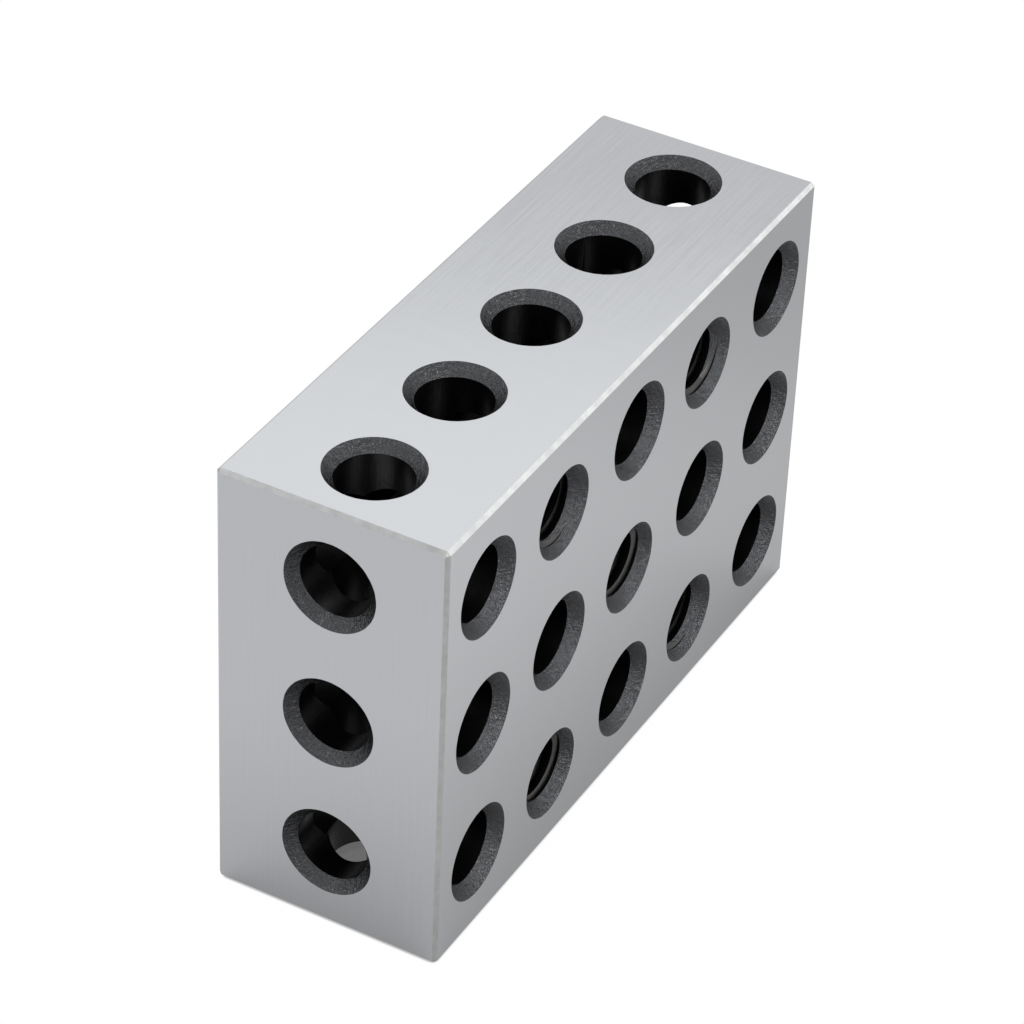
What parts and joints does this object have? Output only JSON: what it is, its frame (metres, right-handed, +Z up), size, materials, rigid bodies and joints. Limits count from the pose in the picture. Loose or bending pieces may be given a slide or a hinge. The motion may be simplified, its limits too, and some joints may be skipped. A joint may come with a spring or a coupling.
{
  "type": "machinist setup block",
  "caption": "Rectangular ground steel setup block with countersunk through bores on all three axes, some of them tapped, for packing up, squaring and clamping work.",
  "frame": {"origin": "middle of the underside, a 1 by 3 inch face", "axes": "+X along the 3 inch length, +Y along the 1 inch thickness, +Z up the 2 inch height"},
  "size_m": [0.0762, 0.0254, 0.0508],
  "materials": {
    "ground_steel": "fine ground faces; heat-treat dark bores and countersinks"
  },
  "bodies": {
    "root": {"setup_block": "ground_steel"}
  },
  "joints": []
}
